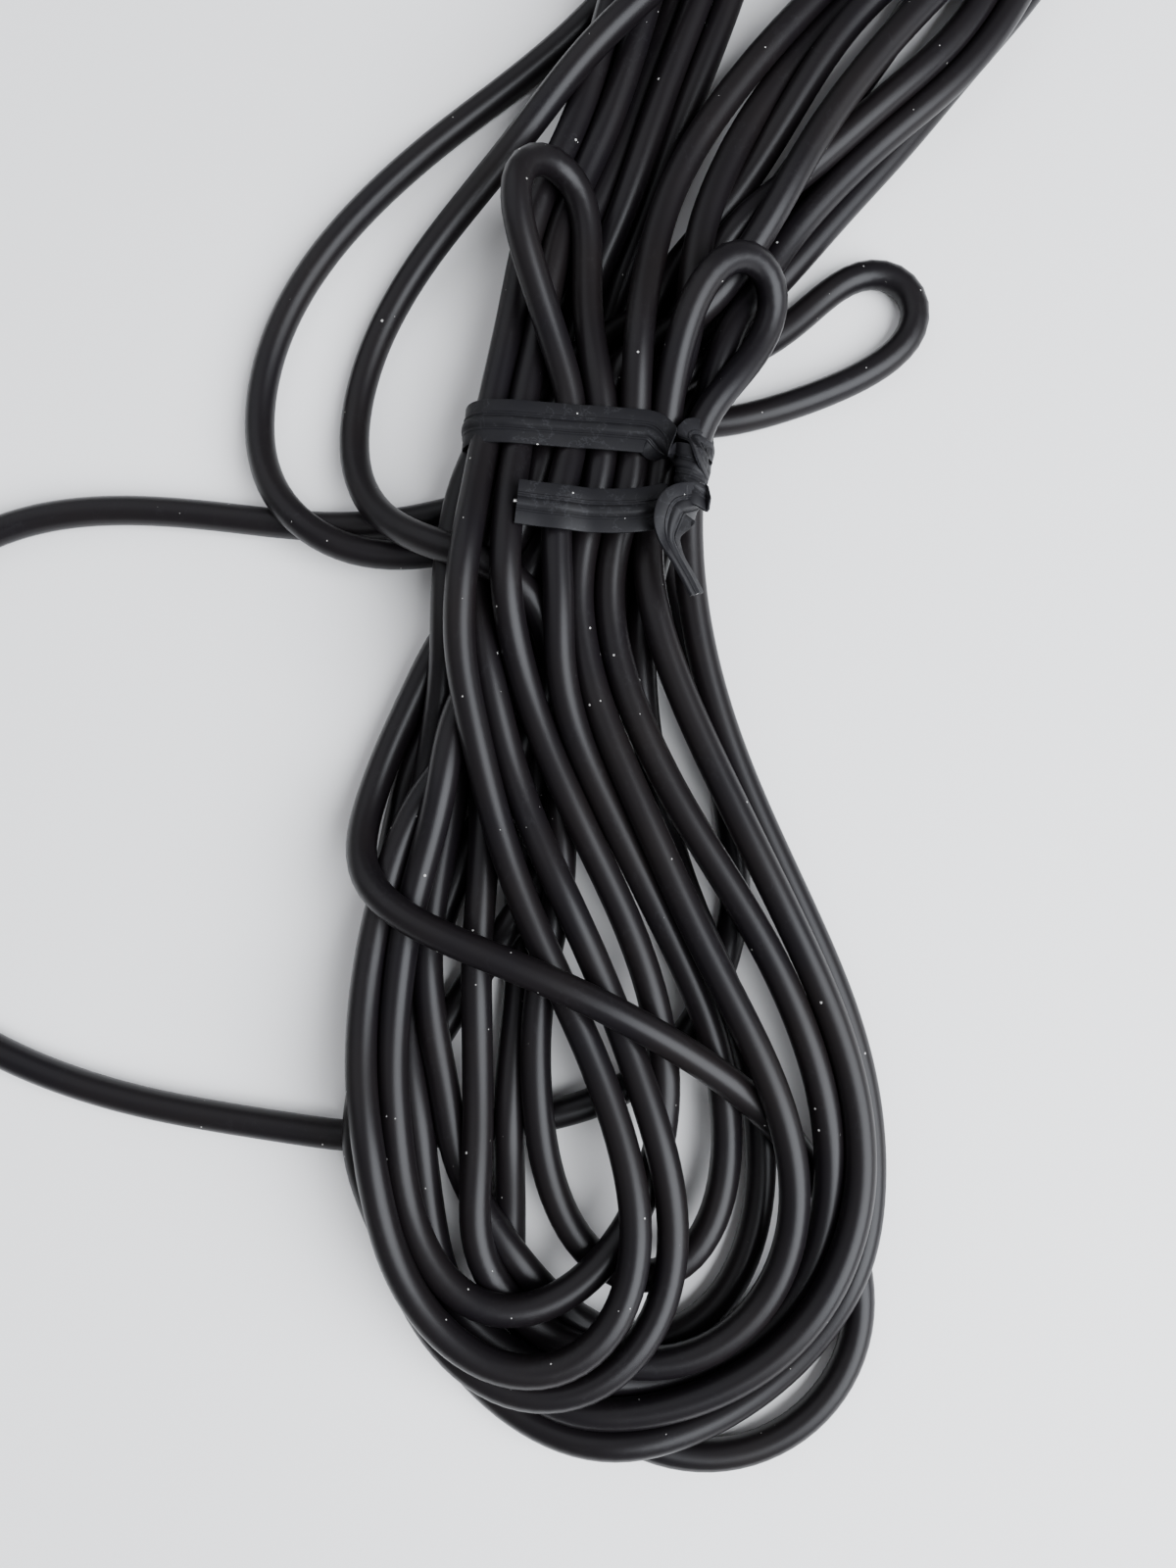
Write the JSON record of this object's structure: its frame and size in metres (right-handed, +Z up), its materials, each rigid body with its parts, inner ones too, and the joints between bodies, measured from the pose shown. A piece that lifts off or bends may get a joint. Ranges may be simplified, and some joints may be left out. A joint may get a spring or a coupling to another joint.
{
  "type": "instrument cable",
  "caption": "Round black vinyl cord wound into a flat hank, held at its waist by a wired ribbon tie, with a mono jack plug with a screw-on barrel on each end.",
  "frame": {"origin": "on the surface, under the middle of the tie", "axes": "+X across the hank, +Y from the tie towards the plugs' end along the hank, +Z up from the surface"},
  "size_m": [0.195, 0.265, 0.0165],
  "materials": {
    "cord_jacket": "satin-gloss black vinyl with fine scuffs",
    "tie_vinyl": "dull black vinyl ribbon with a raised middle",
    "tie_steel": "thin bright wire",
    "contact_plate": "bright nickel plate with light insertion rings",
    "plug_insulator": "moulded black plastic",
    "tinned_lug": "dull tinned brass",
    "core_plastic": "milky polyethylene",
    "bare_copper": "stranded bare copper",
    "liner_plastic": "milky plastic tube",
    "boot_rubber": "matt black soft vinyl",
    "barrel_metal": "satin nickel-plated brass"
  },
  "bodies": {
    "root": {"hank_lower_lobe": "cord_jacket", "hank_throat": "cord_jacket", "hank_upper_lobe": "cord_jacket", "left_loop": "cord_jacket", "outer_bight": "cord_jacket", "inner_bight": "cord_jacket", "right_bight": "cord_jacket", "tail_a": "cord_jacket", "tail_b": "cord_jacket", "cord_end_a": "cord_jacket", "cord_end_b": "cord_jacket", "tie_ribbon": "tie_vinyl", "tie_wire": "tie_steel", "tip_a": "contact_plate", "sleeve_a": "contact_plate", "tip_insulator_a": "plug_insulator", "tip_lug_a": "tinned_lug", "ground_clamp_a": "tinned_lug", "core_insulation_a": "core_plastic", "core_wire_a": "bare_copper", "shield_pigtail_a": "bare_copper", "tip_b": "contact_plate", "sleeve_b": "contact_plate", "tip_insulator_b": "plug_insulator", "tip_lug_b": "tinned_lug", "ground_clamp_b": "tinned_lug", "core_insulation_b": "core_plastic", "core_wire_b": "bare_copper", "shield_pigtail_b": "bare_copper"},
    "boot_a": {"boot_a": "boot_rubber", "liner_a": "liner_plastic"},
    "barrel_a": {"barrel_a": "barrel_metal"},
    "boot_b": {"boot_b": "boot_rubber", "liner_b": "liner_plastic"},
    "barrel_b": {"barrel_b": "barrel_metal"}
  },
  "joints": [
    {"name": "barrel_a_travel", "type": "slide", "parent": "root", "child": "boot_a", "axis": [1, 0, 0], "range_m": [0, 0.008]},
    {"name": "barrel_a_turn", "type": "hinge", "parent": "boot_a", "child": "barrel_a", "pos_m": [-0.05, 0.128, 0.007], "axis": [1, 0, 0], "range_deg": [0, 2880]},
    {"name": "barrel_b_travel", "type": "slide", "parent": "root", "child": "boot_b", "axis": [1, 0, 0], "range_m": [0, 0.008]},
    {"name": "barrel_b_turn", "type": "hinge", "parent": "boot_b", "child": "barrel_b", "pos_m": [-0.072, 0.092, 0.007], "axis": [1, 0, 0], "range_deg": [0, 2880]}
  ],
  "couplings": [
    {"joint": "barrel_a_travel", "follows": "barrel_a_turn", "m_per_rad": 0.00015915},
    {"joint": "barrel_b_travel", "follows": "barrel_b_turn", "m_per_rad": 0.00015915}
  ]
}
